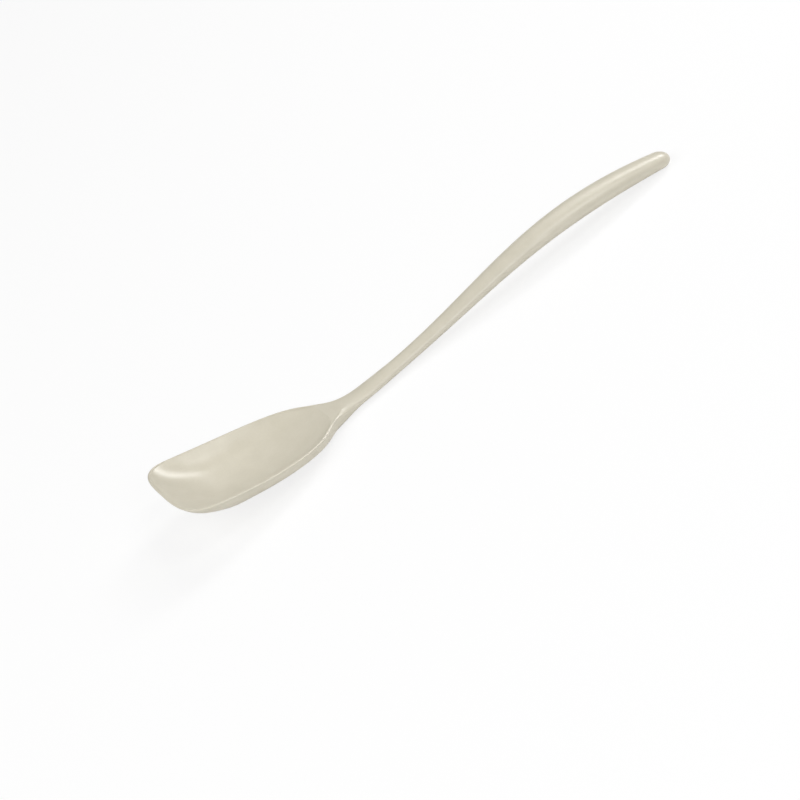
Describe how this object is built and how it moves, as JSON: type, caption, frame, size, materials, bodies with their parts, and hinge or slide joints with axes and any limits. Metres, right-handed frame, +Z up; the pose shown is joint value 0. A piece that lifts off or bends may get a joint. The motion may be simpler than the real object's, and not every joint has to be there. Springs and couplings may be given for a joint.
{
  "type": "cooking spoon",
  "caption": "Moulded cooking spoon with a shallow, square-fronted bowl and a slim oval handle that rises from the neck, thickens into a grip and bends down at its end.",
  "frame": {"origin": "middle of the bounding box's bottom face, on the table, with the spoon lying at rest on the underside of its neck and of its handle's end", "axes": "+X from the bowl's front edge to the handle's end, +Y across the bowl, +Z up from the table; the plane y = 0 is the mirror plane"},
  "size_m": [0.312, 0.0606, 0.0299],
  "materials": {
    "melamine": "satin moulded melamine resin, coloured through in pale warm grey"
  },
  "bodies": {
    "root": {"bowl": "melamine", "handle": "melamine"}
  },
  "joints": []
}
